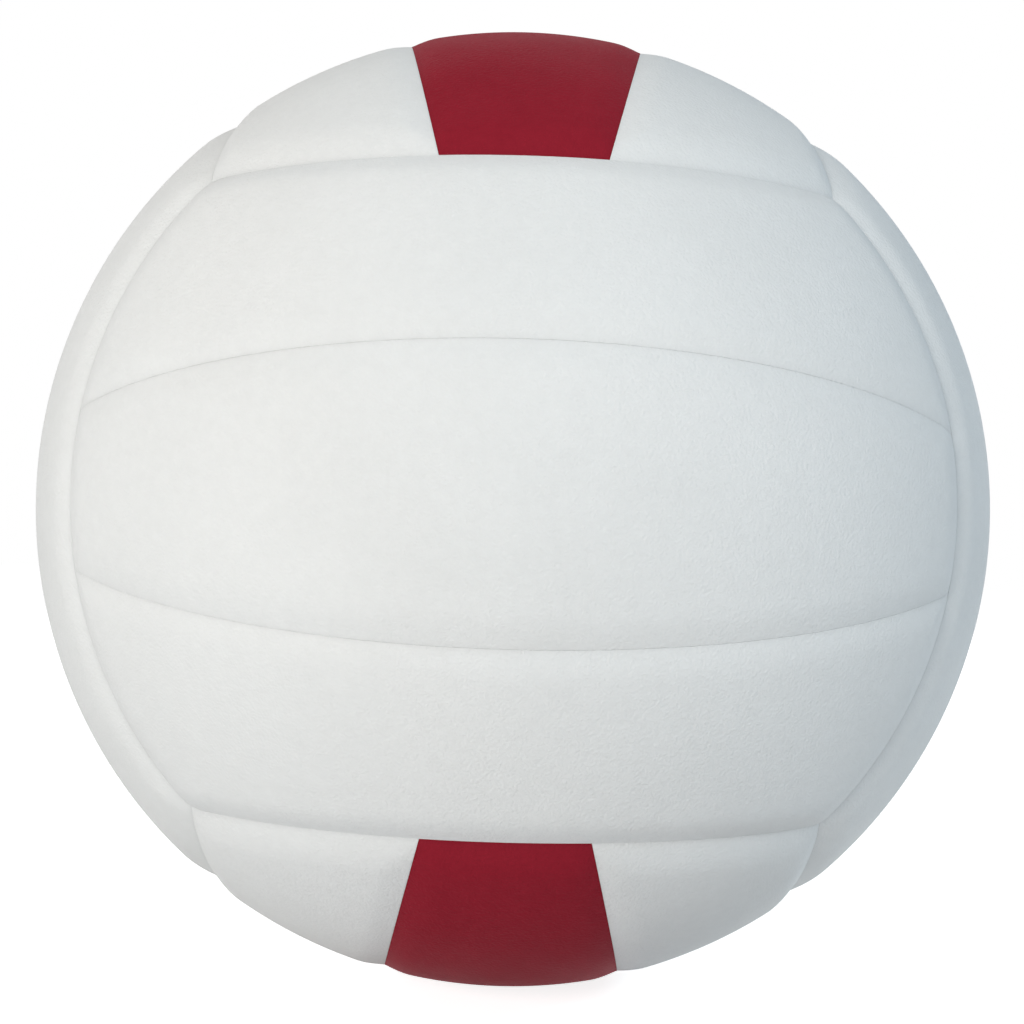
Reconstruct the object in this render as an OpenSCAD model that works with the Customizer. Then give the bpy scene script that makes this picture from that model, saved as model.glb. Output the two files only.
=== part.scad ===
// Volleyball: eighteen foam-backed panels in six groups of three strips,
// sewn round a cloth lining and a bladder with a needle valve.
// The origin is the ball's centre, +Z is up, and the front group faces -Y.

/* [Ball] */
// Outside diameter of the inflated ball
ball_d = 210; // [190:1:230]

/* [Cover] */
// Thickness of a panel's skin and of its turned-in lips
skin_t = 0.7; // [0.5:0.05:1]
// Thickness of the foam pad behind a skin
foam_t = 4; // [3:0.1:6]
// Angle at the ball's centre between a group's middle and the seams of its middle strip
strip_angle = 14.1; // [10:0.1:18]
// Width of the rolled edge beside a seam
roll_w = 4.5; // [3.5:0.1:6]
// Depth of the crease along a group's long sides
crease_d = 1.05; // [0.9:0.05:1.6]
// How much deeper the ends of the strips are drawn in
end_dip = 0.12; // [0.05:0.01:0.3]
// How much shallower the creases between two strips of a group are
strip_rise = 0.4; // [0.2:0.02:0.46]
// Angle by which the rolled edge breaks away from the ball's round
roll_kink = 4; // [3:0.5:6]
// Gap between the lips of two panels
seam_gap = 0.1; // [0.06:0.01:0.2]
// Glue line between two layers
bond_gap = 0.1; // [0.05:0.01:0.2]

/* [Seam thread] */
// Thickness of the thread
thread_d = 0.9; // [0.5:0.1:1]
// Bare length between the end of a long seam's thread and the thread that it meets
thread_stop = 1.5; // [1:0.1:4]

/* [Lining and bladder] */
// Thickness of the cloth lining
lining_t = 0.5; // [0.3:0.1:1]
// Thickness of the bladder's wall
bladder_t = 0.5; // [0.4:0.1:1.2]

/* [Valve boot] */
// Diameter of the boot's neck
neck_d = 11; // [9.5:0.5:16]
// Length of the boot, from its mouth to its inner end
boot_l = 24; // [21:0.5:34]
// Depth of the boot's mouth below the ball's surface
mouth_sink = 0.4; // [0.3:0.05:1]
// Diameter of the flange bonded inside the bladder
flange_d = 32; // [24:1:50]
// Thickness of the flange
flange_t = 1.2; // [0.8:0.1:2]
// Radial gap between the neck and the holes that it passes through
neck_gap = 0.2; // [0.1:0.05:0.3]
// Diameter of the boot's inner end, where its taper stops
boot_tip_d = 8.5; // [7.5:0.5:9.5]

/* [Valve core] */
// Diameter of the core's head
head_d = 7.4; // [6.2:0.1:8]
// Thickness of the core's head
head_t = 1.6; // [1:0.1:2.4]
// Diameter of the core's stem
stem_d = 5; // [4:0.1:5.6]
// Length of the whole core
core_l = 18; // [15:0.5:20]
// Radial clearance of the core in the boot
core_gap = 0.05; // [0.02:0.01:0.1]
// Depth of the core's head below the boot's mouth
core_sink = 0.2; // [0:0.05:0.5]
// Diameter of the needle's bore
bore_d = 2.2; // [1.8:0.1:2.6]
// Depth of the needle's bore
bore_l = 12; // [8:0.5:13]
// Diameter of the funnel at the bore's mouth
funnel_d = 4; // [3:0.1:4.6]
// Depth of the funnel
funnel_l = 1.2; // [0.8:0.1:2]
// Length of the slit across the core's inner end
slit_l = 2; // [1.4:0.1:3]
// Width of the slit
slit_w = 0.2; // [0.1:0.05:0.4]

/* [Hidden] */
$fn = 96;

// Radii of the layers, from the outside in
ball_r = ball_d/2;
foam_inset = skin_t + bond_gap;
foam_in_r = ball_r - foam_inset - foam_t;
lining_r = foam_in_r - bond_gap;
lining_in_r = lining_r - lining_t;
bladder_r = lining_in_r - bond_gap;
bladder_in_r = bladder_r - bladder_t;
flange_r = bladder_in_r - bond_gap;

// The thread lies under the lips, on the lining, between two foam pads
lip_in_r = lining_r + thread_d + 2*bond_gap;
thread_r = lining_r + bond_gap + thread_d/2;

// An end seam is a circle round its group's axis and passes through the corners of a cube in the ball
end_angle = acos(1/sqrt(3));
corner_turn = 45;

end_crease_d = crease_d + end_dip;
strip_crease_d = crease_d - strip_rise;

// The arc of a rolled edge, drawn with the seam on the Y axis and the panel to its left.
// It leaves the ball's round at roll_start and reaches the seam at the crease's depth.
roll_angle = roll_w/ball_r*180/PI;
roll_start = polar(ball_r, -roll_angle);
roll_normal = -polar(1, roll_kink - roll_angle);
function roll_drop(depth) = [0, ball_r - depth] - roll_start;
function roll_r(depth) = roll_drop(depth)*roll_drop(depth)/(2*roll_drop(depth)*roll_normal);
function roll_center(depth) = roll_start + roll_r(depth)*roll_normal;

// Cutting shapes reach from inside the bladder to well outside the ball,
// and a strip is cut as a deep block before its layers are
near = ball_r/2;
deep_r = 0.7*ball_r;
far = 2*ball_r;
past = 5;

// The valve's levels along its axis
mouth_z = ball_r - mouth_sink;
boot_in_z = mouth_z - boot_l;
head_z = mouth_z - core_sink;
seat_z = head_z - head_t;
core_in_z = head_z - core_l;
bore_in_z = head_z - bore_l;

// The group whose middle strip carries the valve
valve_group = "right";

skin_white = [0.93, 0.94, 0.94];
skin_red = [0.52, 0.12, 0.16];
foam_grey = [0.75, 0.75, 0.72];
thread_white = [0.88, 0.87, 0.84];
lining_cream = [0.86, 0.82, 0.72];
bladder_black = [0.12, 0.12, 0.13];
boot_grey = [0.3, 0.3, 0.31];
core_black = [0.08, 0.08, 0.08];

// Six groups, each with two outer strips at sides -1 and 1 and a middle strip at side 0
groups = ["front", "back", "top", "bottom", "left", "right"];
sides = [-1, 0, 1];
upright_words = ["lower", "middle", "upper"];
level_words = ["left", "middle", "right"];
depth_words = ["front", "middle", "back"];

function side_words(group) =
  group == "front" || group == "back" ? upright_words
  : group == "top" || group == "bottom" ? level_words
  : depth_words;

function strip_name(group, side, layer) = str(group, "_", side_words(group)[side + 1], "_", layer);

// A point at distance r from the centre and angle a from the Y axis, towards X
function polar(r, a) = r*[sin(a), cos(a)];

// A point drawn beside a seam on the Y axis, moved with that seam to angle a
function at_seam(p, a) = [p.x*cos(a) + p.y*sin(a), p.y*cos(a) - p.x*sin(a)];

// The space on one side of a seam at angle a from the Z axis, less the seam's crease.
// An inset draws the walls and the rolled edge back by one layer.
module side_of_seam(a, depth, inset) {
  wall_x = -seam_gap/2 - inset;
  center = roll_center(depth);
  lean = atan2(-center.x, center.y);
  rotate_extrude() difference() {
    polygon(concat(
      [polar(near, 0)],
      [for (k = [0:3]) polar(far, k/3*(a - lean))],
      [at_seam([wall_x, far], a), at_seam([wall_x, near], a)]
    ));
    difference() {
      polygon([
        at_seam(center, a),
        polar(far + past, a - lean),
        at_seam([past, far + past], a),
        at_seam([past, center.y], a)
      ]);
      translate(at_seam(center, a)) circle(roll_r(depth) - inset);
    }
  }
}

// One layer of a strip, with its group's axis on +Z and the strip along X.
// Side 0 is the middle strip, and sides -1 and 1 are the outer strips towards -Y and +Y.
module strip_layer(side, inset, inner_r) {
  difference() {
    intersection() {
      difference() {
        sphere(ball_r - inset);
        sphere(deep_r);
      }
      side_of_seam(end_angle, end_crease_d, inset);
      rotate([side == 0 ? 90 - strip_angle : -side*(90 + strip_angle), 0, 0])
        side_of_seam(90, strip_crease_d, inset);
      if (side == 0) rotate([strip_angle - 90, 0, 0]) side_of_seam(90, strip_crease_d, inset);
      else rotate([side*90, 0, 0]) side_of_seam(180 - end_angle, crease_d, inset);
    }
    sphere(inner_r);
  }
}

// Turns a group that lies on +Z to its place on the ball
module in_group(group) {
  turn = group == "front" ? [90, 0, 0]
    : group == "back" ? [90, 0, 180]
    : group == "top" ? [0, 0, -90]
    : group == "bottom" ? [180, 0, 90]
    : group == "left" ? [0, -90, 0]
    : [0, 90, 0];
  rotate(turn) children();
}

// The round hole that the valve's neck passes through, along +Z
module neck_hole(gap) {
  translate([0, 0, near]) cylinder(h = far, d = neck_d + 2*gap);
}

// A skin with its four edges turned in as lips, open towards the ball's centre
module panel(group, side) {
  is_red = side == 0 && (group == "top" || group == "bottom");
  color(is_red ? skin_red : skin_white) in_group(group) difference() {
    strip_layer(side, 0, lip_in_r);
    strip_layer(side, skin_t, lip_in_r - past);
    if (group == valve_group && side == 0) neck_hole(neck_gap);
  }
}

// A pad that fills the skin down to the lining
module foam_pad(group, side) {
  color(foam_grey) in_group(group) difference() {
    strip_layer(side, foam_inset, foam_in_r);
    if (group == valve_group && side == 0) neck_hole(neck_gap);
  }
}

// A thread along a circle at angle a from the Z axis, to half_turn on both sides of the X axis
module thread_arc(a, half_turn) {
  rotate([0, 0, -half_turn]) rotate_extrude(angle = 2*half_turn)
    translate(polar(thread_r, a)) circle(d = thread_d);
}

// The threads of one group: along both end seams, and along both seams of the middle strip
module group_thread() {
  stop_turn = thread_stop/thread_r*180/PI;
  strip_turn = acos(cos(end_angle)/cos(strip_angle));
  for (end_turn = [0, 180]) rotate([0, 0, end_turn])
    thread_arc(end_angle, corner_turn - stop_turn);
  for (lean = [-strip_angle, strip_angle]) rotate([90 + lean, 0, 0]) rotate([0, 0, 90])
    thread_arc(90, strip_turn - stop_turn);
}

module seam_thread() {
  color(thread_white)
    for (group = groups) in_group(group) group_thread();
}

// A round layer under the cover, holed for the valve's neck
module layer_shell(outer_r, inner_r, gap) {
  in_group(valve_group) difference() {
    sphere(outer_r);
    sphere(inner_r);
    neck_hole(gap);
  }
}

module cloth_lining() {
  color(lining_cream) layer_shell(lining_r, lining_in_r, neck_gap);
}

module bladder() {
  color(bladder_black) layer_shell(bladder_r, bladder_in_r, bond_gap);
}

// Neck and flange in one moulding, with a stepped bore for the core
module valve_boot() {
  color(boot_grey) in_group(valve_group) difference() {
    rotate_extrude() union() {
      polygon([
        [0, boot_in_z],
        [boot_tip_d/2, boot_in_z],
        [neck_d/2, flange_r - flange_t],
        [neck_d/2, mouth_z],
        [0, mouth_z]
      ]);
      intersection() {
        difference() {
          circle(flange_r);
          circle(flange_r - flange_t);
        }
        square([flange_d/2, far]);
      }
    }
    translate([0, 0, seat_z]) cylinder(h = far, d = head_d + 2*core_gap);
    translate([0, 0, near]) cylinder(h = far, d = stem_d + 2*core_gap);
  }
}

// Stepped plug turned in one profile, its needle bore closed at the inner end by a slit
module valve_core() {
  color(core_black) in_group(valve_group) difference() {
    rotate_extrude() polygon([
      [0, core_in_z],
      [stem_d/2, core_in_z],
      [stem_d/2, seat_z],
      [head_d/2, seat_z],
      [head_d/2, head_z],
      [funnel_d/2, head_z],
      [bore_d/2, head_z - funnel_l],
      [bore_d/2, bore_in_z],
      [0, bore_in_z]
    ]);
    translate([-slit_l/2, -slit_w/2, near]) cube([slit_l, slit_w, bore_in_z + slit_w - near]);
  }
}

for (group = groups) for (side = sides) {
  panel(group, side);
  foam_pad(group, side);
}
seam_thread();
cloth_lining();
bladder();
valve_boot();
valve_core();
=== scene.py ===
# %% [markdown]
# A sewn volleyball, seen from in front. Its cover is eighteen padded strips in six groups of three, and
# each group runs across its four neighbours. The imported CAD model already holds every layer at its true
# place: skins, foam, thread, lining, bladder and valve. So the model is loaded first, and nothing in it is
# moved. This lesson then sews new skins in place of the CAD ones and gives every layer its finish.

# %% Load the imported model
import math

import bmesh
import bpy
from mathutils import Matrix, Vector


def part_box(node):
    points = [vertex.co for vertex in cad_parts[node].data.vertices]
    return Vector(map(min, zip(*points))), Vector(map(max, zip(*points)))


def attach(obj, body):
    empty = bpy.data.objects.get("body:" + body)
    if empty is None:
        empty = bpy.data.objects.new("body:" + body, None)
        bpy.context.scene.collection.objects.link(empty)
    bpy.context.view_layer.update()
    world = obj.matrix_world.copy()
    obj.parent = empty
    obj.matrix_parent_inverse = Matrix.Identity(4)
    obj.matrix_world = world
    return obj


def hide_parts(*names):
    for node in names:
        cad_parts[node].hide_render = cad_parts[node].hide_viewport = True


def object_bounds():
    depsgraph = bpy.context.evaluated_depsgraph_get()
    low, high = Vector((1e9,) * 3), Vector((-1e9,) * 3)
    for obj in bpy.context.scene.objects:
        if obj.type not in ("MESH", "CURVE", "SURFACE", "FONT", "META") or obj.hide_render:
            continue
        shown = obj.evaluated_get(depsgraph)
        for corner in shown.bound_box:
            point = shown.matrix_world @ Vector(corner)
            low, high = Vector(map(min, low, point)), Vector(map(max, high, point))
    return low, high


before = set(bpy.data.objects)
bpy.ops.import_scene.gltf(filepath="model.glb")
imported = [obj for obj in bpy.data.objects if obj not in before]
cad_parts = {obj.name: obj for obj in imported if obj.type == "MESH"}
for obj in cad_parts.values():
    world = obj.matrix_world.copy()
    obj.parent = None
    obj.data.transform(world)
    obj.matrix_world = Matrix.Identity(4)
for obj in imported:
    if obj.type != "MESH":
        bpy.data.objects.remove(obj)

cad_box = [list(corner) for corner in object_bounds()]
ball_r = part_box("top_middle_panel")[1].z
print("CAD nodes:", len(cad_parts), "ball radius:", round(ball_r, 5))

# %% [markdown]
# Every strip lies between four seams. The two end seams are arcs of a circle round the group's own axis, at
# the angle where that circle passes through the corners of a cube inside the ball. The long outer side of a
# group is a neighbour's end seam, so it has the same angle. The two seams inside a group are great circles.
# With the strip along X, its group across Y and the ball's outside along Z, two angles describe them all.
# Each kind of seam also has a depth to which it draws the skin down, and a width over which it does so.

# %% Seam layout and sizes of a skin, in metres
corner_level = 1 / math.sqrt(3)
seam_angle = math.acos(corner_level)
strip_angle = math.radians(14.1)

skin_t = 0.0007
half_gap = 0.00001
lip_depth = 0.0038
end_seam = {"depth": 0.0014, "width": 0.0085}
side_seam = {"depth": 0.0014, "width": 0.0065}
strip_seam = {"depth": 0.00085, "width": 0.0060}
print("strip width:", round(2 * strip_angle * ball_r, 4), "length:", round(2 * seam_angle * ball_r, 4))

# %% [markdown]
# A strip could be cut out of a ready sphere, but then its edge would cross the sphere's faces at a slant.
# It is better to draw a flat grid and lay it on the ball so that the grid's border is the seam itself. Each
# row of the grid follows a plane that swings from one long seam to the other, and it cuts the ball in an
# arc.

# %% Lay a strip on the ball
def point_in_strip(side, along, across):
    """A point of the unit ball, where along and across run from -1 to 1 between the strip's seams."""
    if side == 0:
        lean, lift = across * strip_angle, 0.0
    else:
        outward = (1 + side * across) / 2
        lean, lift = side * strip_angle * (1 - outward), side * corner_level * outward
    arc_r = math.sqrt(1 - lift * lift)
    half_arc = math.acos((corner_level + lift * math.sin(lean)) / (arc_r * math.cos(lean)))
    x = arc_r * math.sin(along * half_arc)
    rise = arc_r * math.cos(along * half_arc)
    y = lift * math.cos(lean) + rise * math.sin(lean)
    z = rise * math.cos(lean) - lift * math.sin(lean)
    return Vector((x, y, z))


def seam_distances(side, point):
    """Distances over the ball to the end seam and to the two long seams, each with its kind of seam."""
    y, z = point.y, point.z
    slope, level = math.cos(strip_angle), math.sin(strip_angle)
    found = [(seam_angle - math.acos(min(1, z)), end_seam)]
    if side == 0:
        found.append((math.asin(z * level - y * slope), strip_seam))
        found.append((math.asin(z * level + y * slope), strip_seam))
    else:
        found.append((math.asin(side * y * slope - z * level), strip_seam))
        found.append((math.acos(side * y) - seam_angle, side_seam))
    return [(angle * ball_r, seam) for angle, seam in found]


print("corner of a middle strip:", [round(c, 4) for c in point_in_strip(0, 1, 1)])

# %% [markdown]
# The foam behind a skin makes it swell between its seams, and the thread draws its edge down. So the skin
# slopes into a crease, steepest beside the seam and fading out into the ball's round, and it turns in
# sharply at the seam itself. A bevel on a thick plate would give one slope all round. Here the drop is
# worked out from the distance to each seam, so the seams between two groups can be deeper than those inside
# a group, and where two seams meet their drops flow into one.

# %% Draw the edges down into the creases
valley_r = 0.0003
rim_r = 0.00006
blending = 3


def fade(away):
    """Falls from 1 to 0 while away goes from 0 to 1, steepest at the start and level at the end."""
    return 1 - 1.5 * away + 0.5 * away ** 3


def drop_at(side, point, inset):
    """How far the skin lies under the ball's round, and how near it is to a seam, from 0 to 1."""
    drops, nearest, turn = 0.0, 0.0, 0.0
    for distance, seam in seam_distances(side, point):
        inward = max(0.0, distance - half_gap - inset)
        away = min(1.0, math.hypot(inward, valley_r) / (seam["width"] - inset))
        drops += (seam["depth"] * fade(away)) ** blending
        nearest = max(nearest, 1 - inward / seam["width"])
        if inward < rim_r and not inset:
            turn = max(turn, rim_r - math.sqrt(rim_r ** 2 - (rim_r - inward) ** 2))
    return drops ** (1 / blending) + turn, nearest


print("drop at a corner:", round(drop_at(0, point_in_strip(0, 1, 1), 0.0)[0], 5))

# %% [markdown]
# A crease is narrow beside a strip, so an even grid would need far too many faces to show it. The grid's
# rows are gathered where the form changes instead: four go round the small turn at the very edge, ten go
# down the slope, closest together near the seam, and the rest share the calm middle of the strip.

# %% Gather the rows at the creases
rim_rows = 4
roll_rows = 14
band = 0.0085
crowding = 1.5


def row_place(row, count, length, inset):
    """Where one of count rows lies between -1 and 1 on a strip of this length."""
    if row > count / 2:
        return -row_place(count - row, count, length, inset)
    if row < rim_rows:
        edge = rim_r * (1 - math.cos(row / rim_rows * math.pi / 2))
    else:
        down = (min(row, roll_rows) - rim_rows) / (roll_rows - rim_rows)
        edge = rim_r + (band - rim_r) * down ** crowding
    edge = half_gap + inset + edge * (1 - inset / band)
    middle = max(0, row - roll_rows) / (count / 2 - roll_rows)
    return -1 + 2 * (edge + middle * (length / 2 - edge)) / length


print("rows in a crease:", roll_rows)

# %% [markdown]
# One strip carries the valve, so its skin has a punched round hole. Cutting it with a boolean would leave
# long thin faces round the rim. Instead a square block of faces is taken out of the grid, its border is
# drawn into a circle, and the rings of faces outside it change slowly from round back to square.

# %% Draw the grid round the valve's hole
hole_r = 0.0057
hole_ring = 4
calm_ring = 12
ring_step = 0.0015
hole_dip = 0.0003
dip_reach = 0.0012


def round_the_hole(point, column, row):
    """Moves a grid point near the valve so that the rings about the hole are round, and gives its dip."""
    ring = max(abs(column), abs(row))
    if ring > calm_ring:
        return point, 0.0
    if abs(column) >= abs(row):
        angle = math.pi / 4 * row / column + (math.pi if column < 0 else 0)
    else:
        angle = math.pi / 2 - math.pi / 4 * column / row + (math.pi if row < 0 else 0)
    share = (ring - hole_ring) / (calm_ring - hole_ring)
    share = share * share * (3 - 2 * share)
    radius = (hole_r + (ring - hole_ring) * ring_step) / ball_r
    x = (1 - share) * radius * math.cos(angle) + share * point.x
    y = (1 - share) * radius * math.sin(angle) + share * point.y
    out = math.hypot(x, y) * ball_r - hole_r
    return Vector((x, y, math.sqrt(1 - x * x - y * y))), hole_dip * math.exp(-(out / dip_reach) ** 2)


print("hole across:", 2 * hole_r)

# %% [markdown]
# Now the skin itself, first as a flat pattern. The grid's border is extruded to make the lip that is turned
# in and sewn, and then the whole sheet is extruded once more to make its inner face, so that sheet and lip
# have a real thickness. Solidify could do that too, but in the tight turn at the crease its inner wall
# would fold over itself. Each point keeps its column and row in a layer, so that it can be laid on the ball
# later. An extrude gives its faces in no fixed order, so at the end they are sorted, and every run makes
# the same mesh.

# %% Cut the flat pattern of a skin
columns = 150
rows = 52
marks = ("column", "row", "foot", "inner")


def mark(geometry, layer):
    """Sets a layer to 1 on the points among some new geometry."""
    for v in geometry:
        if isinstance(v, bmesh.types.BMVert):
            v[layer] = 1


def ring_of(v, column_of, row_of):
    """How many rings of faces a point lies from the middle of its grid."""
    return max(abs(v[column_of] - columns // 2), abs(v[row_of] - rows // 2))


def grid_order(face, layers):
    """A number that gives a face its place by sheet, column and row."""
    number = 0
    for layer in layers:
        number = number * 1000 + sum(v[layer] for v in face.verts)
    return number


def flat_pattern(valve):
    bm = bmesh.new()
    bmesh.ops.create_grid(bm, x_segments=columns, y_segments=rows, size=1)
    column_of, row_of, foot_of, inner_of = [bm.verts.layers.int.new(name) for name in marks]
    for v in bm.verts:
        v[column_of] = round((v.co.x + 1) / 2 * columns)
        v[row_of] = round((v.co.y + 1) / 2 * rows)
    border = [e for e in bm.edges if e.is_boundary]
    if valve:
        middle = [f for f in bm.faces if all(ring_of(v, column_of, row_of) <= hole_ring for v in f.verts)]
        bmesh.ops.delete(bm, geom=middle, context="FACES")
    mark(bmesh.ops.extrude_edge_only(bm, edges=border)["geom"], foot_of)
    mark(bmesh.ops.extrude_face_region(bm, geom=bm.faces[:], use_keep_orig=True)["geom"], inner_of)
    bm.faces.sort(key=lambda face: grid_order(face, (inner_of, foot_of, column_of, row_of)))
    return bm


print("points of a grid:", (columns + 1) * (rows + 1))

# %% [markdown]
# Then the pattern is laid on the ball. The inner sheet follows the same rule as the outer one, drawn back
# by one thickness, which keeps it clean in the crease. How near a point is to a seam is kept as an
# attribute, because the skin material paints shade into the creases from it. The rim of the valve's hole
# gets a small bevel, as a punch rounds the edge it cuts.

# %% Sew one skin
rim_bevel = 0.0002


def skin_form(side, valve=False):
    bm = flat_pattern(valve)
    crease = bm.verts.layers.float.new("crease")
    column_of, row_of, foot_of, inner_of = [bm.verts.layers.int[name] for name in marks]
    for v in bm.verts:
        inset = skin_t * v[inner_of]
        along, across = 2 * v[column_of] / columns - 1, 2 * v[row_of] / rows - 1
        length = ball_r * point_in_strip(side, -1, across).angle(point_in_strip(side, 1, across))
        width = ball_r * point_in_strip(side, along, -1).angle(point_in_strip(side, along, 1))
        point = point_in_strip(side, row_place(v[column_of], columns, length, inset),
                               row_place(v[row_of], rows, width, inset))
        dip = 0.0
        if valve:
            point, dip = round_the_hole(point, v[column_of] - columns // 2, v[row_of] - rows // 2)
        drop, v[crease] = drop_at(side, point, inset)
        v.co = point * (ball_r - lip_depth if v[foot_of] else ball_r - inset - drop - dip)

    if valve:
        rim = [e for e in bm.edges if all(
            not v[inner_of] and ring_of(v, column_of, row_of) == hole_ring for v in e.verts)]
        bmesh.ops.bevel(bm, geom=rim, offset=rim_bevel, segments=3, profile=0.5, affect="EDGES", material=-1)
    for name in marks:
        bm.verts.layers.int.remove(bm.verts.layers.int[name])
    bmesh.ops.recalc_face_normals(bm, faces=bm.faces[:])
    return bm


forms = {-1: skin_form(-1), 0: skin_form(0), 1: skin_form(1), "valve": skin_form(0, valve=True)}
print("faces of a skin:", {name: len(bm.faces) for name, bm in forms.items()})

# %% [markdown]
# Skins of all six groups have the same three forms, so each form is sewn once and then turned to its
# places. A turn is three directions: along the strips, across them, and outward, which is the cross product
# of the two.

# %% The six groups
groups = {
    "front": ((1, 0, 0), (0, 0, 1), ("lower", "middle", "upper")),
    "back": ((-1, 0, 0), (0, 0, 1), ("lower", "middle", "upper")),
    "top": ((0, -1, 0), (1, 0, 0), ("left", "middle", "right")),
    "bottom": ((0, 1, 0), (1, 0, 0), ("left", "middle", "right")),
    "left": ((0, 0, 1), (0, 1, 0), ("front", "middle", "back")),
    "right": ((0, 0, -1), (0, 1, 0), ("front", "middle", "back")),
}


def turn_to(along, across):
    along, across = Vector(along), Vector(across)
    return Matrix((along, across, along.cross(across))).transposed().to_4x4()


print("outward directions:", {name: tuple(turn_to(g[0], g[1]).col[2].xyz) for name, g in groups.items()})

# %% [markdown]
# The turn goes into each copy's mesh and not into its object, because all pieces share one origin, the
# ball's centre. A skin rides on the ball and stands for the CAD panel in its place. Two middle strips are
# red.

# %% Place the skins
skins = {}
for group, (along, across, words) in groups.items():
    for side, word in zip((-1, 0, 1), words):
        has_valve = group == "right" and side == 0
        bm = forms["valve" if has_valve else side].copy()
        bmesh.ops.transform(bm, matrix=turn_to(along, across), space=Matrix.Identity(4), verts=bm.verts[:])
        mesh = bpy.data.meshes.new(f"{group}_{word}_skin")
        bm.to_mesh(mesh)
        bm.free()
        mesh.shade_smooth()
        skin = bpy.data.objects.new(mesh.name, mesh)
        bpy.context.collection.objects.link(skin)
        is_red = side == 0 and group in ("top", "bottom")
        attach(skin, "ball")
        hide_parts(f"{group}_{word}_panel")
        skins[skin.name] = (skin, is_red)
for bm in forms.values():
    bm.free()
print("skins:", len(skins), "red:", [name for name, (skin, is_red) in skins.items() if is_red])

# %% [markdown]
# Materials come next. Several of them share an effect, such as the fine grain pressed into a surface, so
# each effect is a node group that is built once and placed with its own values. Small helpers make a group
# with its sockets, add a node with its links and place a group, which keeps the recipes short enough to
# read.

# %% Helpers for groups and materials
def new_group(name, inputs, outputs):
    tree = bpy.data.node_groups.new(name, "ShaderNodeTree")
    for label, value in inputs:
        tree.interface.new_socket(label, in_out="INPUT", socket_type="NodeSocketFloat").default_value = value
    for label in outputs:
        tree.interface.new_socket(label, in_out="OUTPUT", socket_type="NodeSocketFloat")
    return tree, tree.nodes.new("NodeGroupInput"), tree.nodes.new("NodeGroupOutput")


def add_node(tree, kind, settings=None, **inputs):
    """A new node with its settings. An input is named, or numbered as in _0, and gets a value or a link."""
    made = tree.nodes.new(kind)
    for name, value in (settings or {}).items():
        setattr(made, name, value)
    for name, value in inputs.items():
        socket = made.inputs[int(name[1:])] if name[1:].isdigit() else made.inputs[name.replace("_", " ")]
        if isinstance(value, bpy.types.NodeSocket):
            tree.links.new(value, socket)
        else:
            socket.default_value = value
    return made


def use_group(tree, group, **values):
    node = add_node(tree, "ShaderNodeGroup", {"node_tree": group})
    for name, value in values.items():
        node.inputs[name.replace("_", " ")].default_value = value
    return node


def mix_colours(tree, mask, low, high):
    return add_node(tree, "ShaderNodeMix", {"data_type": "RGBA"}, _0=mask, _6=low, _7=high).outputs[2]


def math_node(tree, operation, first, second):
    return add_node(tree, "ShaderNodeMath", {"operation": operation}, _0=first, _1=second).outputs[0]


print("Blender", bpy.app.version_string)

# %% [markdown]
# Synthetic leather is a sheet of plastic pressed on a grained roller. Its grain is a net of tiny rounded
# cells a little over half a millimetre across, not all alike. A Voronoi texture gives the cells, a noise
# bends them so that they don't look drawn, and a finer noise adds the pores. The group puts out a height
# for a bump.

# %% Pressed grain
cell_bend = 0.0012
pores_per_cell = 2.3

grain_sockets = [("Cells per metre", 1600.0), ("Pores", 0.3)]
grain, grain_in, grain_out = new_group("pressed_grain", grain_sockets, ["Height"])
cell_count = grain_in.outputs["Cells per metre"]
place = add_node(grain, "ShaderNodeTexCoord").outputs["Object"]
bend = add_node(grain, "ShaderNodeTexNoise", Vector=place, Scale=600.0, Detail=2.0)
bent = add_node(grain, "ShaderNodeMix", {"data_type": "VECTOR"}, Factor=cell_bend, _4=place,
                _5=bend.outputs["Color"])
cells = add_node(grain, "ShaderNodeTexVoronoi", {"feature": "SMOOTH_F1"}, Vector=bent.outputs["Result"],
                 Scale=cell_count, Smoothness=0.6)
pore_count = math_node(grain, "MULTIPLY", cell_count, pores_per_cell)
pores = add_node(grain, "ShaderNodeTexNoise", Vector=place, Scale=pore_count, Detail=1.0)
domes = math_node(grain, "SUBTRACT", 1.0, cells.outputs["Distance"])
height = add_node(grain, "ShaderNodeMix", Factor=grain_in.outputs["Pores"], A=domes, B=pores.outputs[0])
grain.links.new(height.outputs["Result"], grain_out.inputs["Height"])
print("group:", grain.name)

# %% [markdown]
# No cover is quite even. Handling leaves broad, soft patches a little darker or duller than the rest, and
# finer flecks between them. Two noises of different size give both. The group puts out a mask for the tone
# and one for the gloss, which comes from another place in the noise so that the two don't follow each
# other.

# %% Soft patches
fleck_share = 0.35
gloss_place = (0.3, 0.7, 0.1)

patches, patches_in, patches_out = new_group("soft_patches", [("Patches per metre", 28.0)], ["Tone", "Gloss"])
patch_count = patches_in.outputs["Patches per metre"]
place = add_node(patches, "ShaderNodeTexCoord").outputs["Object"]
broad = add_node(patches, "ShaderNodeTexNoise", Vector=place, Scale=patch_count, Detail=4.0, Roughness=0.6)
flecks = add_node(patches, "ShaderNodeTexNoise", Vector=place, Scale=420.0, Detail=3.0)
tone = add_node(patches, "ShaderNodeMix", Factor=fleck_share, A=broad.outputs[0], B=flecks.outputs[0])
spread = add_node(patches, "ShaderNodeMapRange", Value=tone.outputs["Result"], From_Min=0.35, From_Max=0.65)
moved = add_node(patches, "ShaderNodeMapping", Vector=place, Location=gloss_place)
dull = add_node(patches, "ShaderNodeTexNoise", Vector=moved.outputs[0], Scale=patch_count, Detail=5.0)
patches.links.new(spread.outputs[0], patches_out.inputs["Tone"])
patches.links.new(dull.outputs[0], patches_out.inputs["Gloss"])
print("group:", patches.name)
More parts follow.
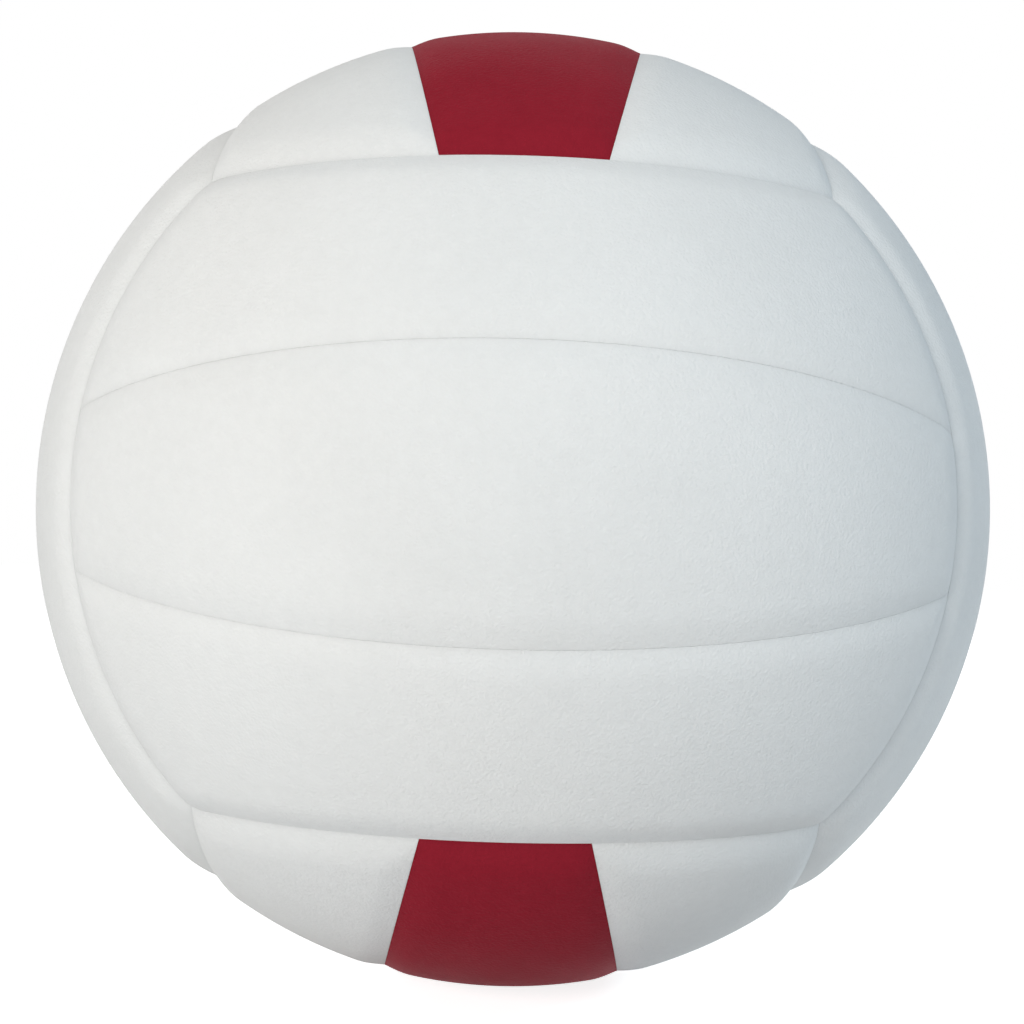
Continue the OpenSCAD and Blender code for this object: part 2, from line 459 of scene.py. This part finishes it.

# %% [markdown]
# Shade falls into the creases, and here it is painted into the colour. Each skin carries the attribute that
# says how near a point is to a seam, and a high power of it leaves a narrow line of painted shade at the very
# bottom of the crease. It could be painted by hand, but then every skin would need its own picture.

# %% Painted shade in the creases
crease_shade_group, crease_shade_in, crease_shade_out = new_group("painted_crease_shade", [("Narrowness", 12.0)], ["Mask"])
# Painted shade: a high power of the seam attribute marks the bottom of each crease to be darkened.
seam_near = add_node(crease_shade_group, "ShaderNodeAttribute", {"attribute_name": "crease"}).outputs["Fac"]
crease_shade_group.links.new(math_node(crease_shade_group, "POWER", seam_near, crease_shade_in.outputs["Narrowness"]), crease_shade_out.inputs["Mask"])
print("group:", crease_shade_group.name)

# %% [markdown]
# The two skins are the same sheet in two colours: satin, with hardly any shine, because a ball has to be
# gripped. So one recipe makes both. The tone mask mixes two close shades, painted shade darkens the crease,
# the gloss mask moves the roughness a little, and the pressed grain goes through a Bump node into the normal.

# %% Skins in white and red
painted_shade_share = 0.15
satin_shine = 0.02


def new_material(name):
    material = bpy.data.materials.new(name)
    material.use_nodes = True
    return material, material.node_tree, material.node_tree.nodes["Principled BSDF"]


def join_finish(tree, shader, colour, rough, bump):
    """Links a colour, a roughness node and a bump node to their places on the shader."""
    tree.links.new(colour, shader.inputs["Base Color"])
    tree.links.new(rough.outputs[0], shader.inputs["Roughness"])
    tree.links.new(bump.outputs[0], shader.inputs["Normal"])


def skin_material(name, light, dark, crease_shade_colour):
    material, tree, shader = new_material(name)
    patch = use_group(tree, patches, Patches_per_metre=28.0)
    shade = mix_colours(tree, patch.outputs["Tone"], dark, light)
    # Painted shade: a darker colour is mixed in along the bottom of each crease.
    line = use_group(tree, crease_shade_group, Narrowness=12.0)
    part = math_node(tree, "MULTIPLY", line.outputs["Mask"], painted_shade_share)
    crease_shaded = mix_colours(tree, part, shade, crease_shade_colour)
    rough = add_node(tree, "ShaderNodeMapRange", Value=patch.outputs["Gloss"], From_Min=0.3, From_Max=0.7,
                     To_Min=0.48, To_Max=0.62)
    pressed = use_group(tree, grain, Cells_per_metre=1600.0, Pores=0.3)
    bump = add_node(tree, "ShaderNodeBump", Strength=0.6, Distance=0.00018, Height=pressed.outputs["Height"])
    join_finish(tree, shader, crease_shaded, rough, bump)
    shader.inputs["Specular IOR Level"].default_value = satin_shine
    return material


# The last colour of each skin is its painted crease shade.
white_skin = skin_material("white_synthetic_leather", (0.80, 0.81, 0.81, 1), (0.765, 0.775, 0.775, 1),
                           (0.42, 0.42, 0.42, 1))
red_skin = skin_material("red_synthetic_leather", (0.275, 0.0155, 0.029, 1), (0.245, 0.0130, 0.025, 1),
                         (0.07, 0.004, 0.007, 1))
for skin, is_red in skins.values():
    skin.data.materials.append(red_skin if is_red else white_skin)
print("skin materials:", white_skin.name, red_skin.name)

# %% [markdown]
# Under the skins lie the layers that only a torn ball shows. Their CAD solids have the right shape, so they
# stay and only their material slots change. Foam is full of small bubbles, so cells drive both its colour
# and its bump. Thread is twisted, so slanted bands run along it. The lining is woven, so two sets of bands
# cross.

# %% Foam, thread and lining
def finish_layer(name, light, dark, pattern_of, depth, roughness):
    """A material whose pattern drives its colour, a little of its roughness and its bump."""
    material, tree, shader = new_material(name)
    pattern = pattern_of(tree)
    shade = mix_colours(tree, pattern, dark, light)
    rough = add_node(tree, "ShaderNodeMapRange", Value=pattern, To_Min=roughness, To_Max=roughness - 0.12)
    bump = add_node(tree, "ShaderNodeBump", Strength=0.6, Distance=depth, Height=pattern)
    join_finish(tree, shader, shade, rough, bump)
    return material


def bubbles(tree):
    place = add_node(tree, "ShaderNodeTexCoord").outputs["Object"]
    return add_node(tree, "ShaderNodeTexVoronoi", Vector=place, Scale=900.0).outputs["Distance"]


def bands(tree, count, turn):
    place = add_node(tree, "ShaderNodeTexCoord").outputs["Object"]
    turned = add_node(tree, "ShaderNodeMapping", Vector=place, Rotation=turn).outputs[0]
    wave = add_node(tree, "ShaderNodeTexWave", Vector=turned, Scale=count, Distortion=0.4, Detail=1.0)
    return wave.outputs["Fac"]


def twist(tree):
    return bands(tree, 260.0, (0.6, 0.5, 0.8))


def weave(tree):
    return math_node(tree, "MAXIMUM", bands(tree, 160.0, (0, 0, 0)), bands(tree, 160.0, (0.2, 1.57, 0.9)))


foam = finish_layer("padding_foam", (0.72, 0.71, 0.66, 1), (0.55, 0.54, 0.50, 1), bubbles, 0.0002, 0.9)
thread = finish_layer("sewing_thread", (0.75, 0.73, 0.68, 1), (0.5, 0.49, 0.45, 1), twist, 0.0001, 0.7)
cloth = finish_layer("lining_cloth", (0.70, 0.64, 0.50, 1), (0.48, 0.43, 0.33, 1), weave, 0.0001, 0.85)
print("layers:", foam.name, thread.name, cloth.name)

# %% [markdown]
# The bladder, the valve's boot and its core are rubber. Moulded rubber has a dull bloom in patches and a
# very fine grain from the mould, so it uses the same two groups as the skins, with other values. The boot
# is the palest of the three, so that the ring round the core can be told from it.

# %% Rubber
gloss_spread = 0.15


def rubber(name, light, dark, roughness, cells):
    material, tree, shader = new_material(name)
    patch = use_group(tree, patches, Patches_per_metre=90.0)
    shade = mix_colours(tree, patch.outputs["Tone"], dark, light)
    rough = add_node(tree, "ShaderNodeMapRange", Value=patch.outputs["Gloss"],
                     To_Min=roughness - gloss_spread, To_Max=roughness + gloss_spread)
    mould = use_group(tree, grain, Cells_per_metre=cells, Pores=0.8)
    bump = add_node(tree, "ShaderNodeBump", Strength=0.5, Distance=0.00008, Height=mould.outputs["Height"])
    join_finish(tree, shader, shade, rough, bump)
    return material


butyl = rubber("bladder_rubber", (0.030, 0.030, 0.032, 1), (0.014, 0.014, 0.015, 1), 0.5, 900.0)
boot = rubber("boot_rubber", (0.085, 0.085, 0.088, 1), (0.055, 0.055, 0.058, 1), 0.55, 2600.0)
core = rubber("core_rubber", (0.022, 0.022, 0.022, 1), (0.012, 0.012, 0.012, 1), 0.5, 3200.0)

layer_of = {"seam_thread": thread, "cloth_lining": cloth, "bladder": butyl, "valve_boot": boot,
            "valve_core": core}
layer_of.update({name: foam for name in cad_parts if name.endswith("_foam")})
for name, finish in layer_of.items():
    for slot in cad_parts[name].material_slots:
        slot.material = finish
print("layers dressed:", len(layer_of))

# %% [markdown]
# The ball rests on a pale floor. To the camera the floor is almost pure white, which is done with the Light
# Path node: what the camera sees glows, while the ball is lit by the plain paint. The floor still darkens
# where the ball keeps the light off it. From below it is clear, so that a low camera sees the ball.

# %% Floor
floor_half = 4.0
floor_glow = 0.82


def seen_directly(tree):
    """A socket that is 1 for what the camera sees, straight, mirrored or through glass, and else 0."""
    path = add_node(tree, "ShaderNodeLightPath")
    mirrored = math_node(tree, "MAXIMUM", path.outputs["Is Camera Ray"], path.outputs["Is Glossy Ray"])
    return math_node(tree, "MAXIMUM", mirrored, path.outputs["Is Transmission Ray"])


bm = bmesh.new()
bmesh.ops.create_grid(bm, x_segments=8, y_segments=8, size=floor_half)
bmesh.ops.translate(bm, vec=(0, 0, cad_box[0][2]), verts=bm.verts[:])
mesh = bpy.data.meshes.new("studio_floor")
bm.to_mesh(mesh)
bm.free()
floor = bpy.data.objects.new("studio_floor", mesh)
bpy.context.collection.objects.link(floor)

floor_paint, tree, shader = new_material("pale_floor_paint")
shader.inputs["Base Color"].default_value = (0.82, 0.82, 0.82, 1)
shader.inputs["Roughness"].default_value = 0.9
shader.inputs["Specular IOR Level"].default_value = 0.0
glow = math_node(tree, "MULTIPLY", seen_directly(tree), floor_glow)
lamp = add_node(tree, "ShaderNodeEmission", Color=(1, 1, 1, 1), Strength=glow)
both = add_node(tree, "ShaderNodeAddShader", _0=shader.outputs[0], _1=lamp.outputs[0])
under = add_node(tree, "ShaderNodeNewGeometry").outputs["Backfacing"]
clear = add_node(tree, "ShaderNodeBsdfTransparent")
one_way = add_node(tree, "ShaderNodeMixShader", _0=under, _1=both.outputs[0], _2=clear.outputs[0])
tree.links.new(one_way.outputs[0], tree.nodes["Material Output"].inputs["Surface"])
floor.data.materials.append(floor_paint)
print("floor at", round(cad_box[0][2], 4))

# %% [markdown]
# Round the ball is a white room. A studio has white walls, and modelling them would only cost time, so the
# world stands for them. It gives the ball a weak, even light, and the same trick as on the floor shows it
# to the camera as pure white.

# %% White room
room_strength = 0.26

world = bpy.data.worlds.new("white_room")
bpy.context.scene.world = world
world.use_nodes = True
tree = world.node_tree
room_light = tree.nodes["Background"]
room_light.inputs["Color"].default_value = (1, 1, 1, 1)
room_light.inputs["Strength"].default_value = room_strength
white = add_node(tree, "ShaderNodeBackground", Color=(1, 1, 1, 1), Strength=1.0)
mixed = add_node(tree, "ShaderNodeMixShader", _0=seen_directly(tree), _1=room_light.outputs[0],
                 _2=white.outputs[0])
tree.links.new(mixed.outputs[0], tree.nodes["World Output"].inputs["Surface"])
print("room light:", room_strength)

# %% [markdown]
# Three soft lamps light the ball. The key lamp stands in front, to the left, and makes that side lightest.
# A weaker and cooler one at the right keeps that side from going dull, and one behind does the same for the
# back, which only other views show. They are wide disks, and not points, so that their shadows are soft.

# %% Lamps
lamp_distance = 1.6
lamp_size = 0.5


def soft_lamp(name, left, height, power, colour):
    """A round lamp that faces the ball, so many degrees to the left of the front and above the ball."""
    left, height = math.radians(left), math.radians(height)
    place = lamp_distance * Vector((-math.sin(left) * math.cos(height), -math.cos(left) * math.cos(height),
                                    math.sin(height)))
    data = bpy.data.lights.new(name, "AREA")
    data.shape = "DISK"
    data.size = lamp_size
    data.energy = power
    data.color = colour
    lamp = bpy.data.objects.new(name, data)
    lamp.location = place
    lamp.rotation_euler = place.to_track_quat("Z", "Y").to_euler()
    bpy.context.collection.objects.link(lamp)
    return lamp


key = soft_lamp("key_lamp", 30, 14, 15.2, (1.0, 0.98, 0.94))
fill = soft_lamp("fill_lamp", -70, 30, 7.2, (0.66, 0.86, 1.0))
rear = soft_lamp("back_lamp", 180, 12, 11.0, (1.0, 1.0, 1.0))
print("lamps, in watts:", key.data.energy, fill.data.energy, rear.data.energy)

# %% [markdown]
# The camera stands a little lower than the ball's middle, close in front of it, so that the groups above,
# below and at the sides are seen only as narrow bands at the rim. It is rolled a degree and a half, as the
# ball is slightly turned in the picture. It could be aimed with a constraint, but three directions say it
# exactly.

# %% Camera
picture_px = 1024
camera_distance = 0.342
roll = math.radians(1.58)

data = bpy.data.cameras.new("front_camera")
data.lens = 52.0
data.sensor_width = 36.0
data.shift_x = -0.9 / picture_px
data.shift_y = -2.8 / picture_px
data.clip_start = 0.01
camera = bpy.data.objects.new("front_camera", data)
bpy.context.collection.objects.link(camera)

back = Vector((-0.0035, -0.9997, -0.0250)).normalized()
level = Vector((0, 0, 1)).cross(back).normalized()
upright = back.cross(level)
right = level * math.cos(roll) + upright * math.sin(roll)
up = upright * math.cos(roll) - level * math.sin(roll)
turned = Matrix((right, up, back)).transposed().to_4x4()
camera.matrix_world = Matrix.Translation(back * camera_distance) @ turned
bpy.context.scene.camera = camera
bpy.context.scene.view_settings.view_transform = "Standard"
print("camera at", [round(c, 4) for c in camera.location])
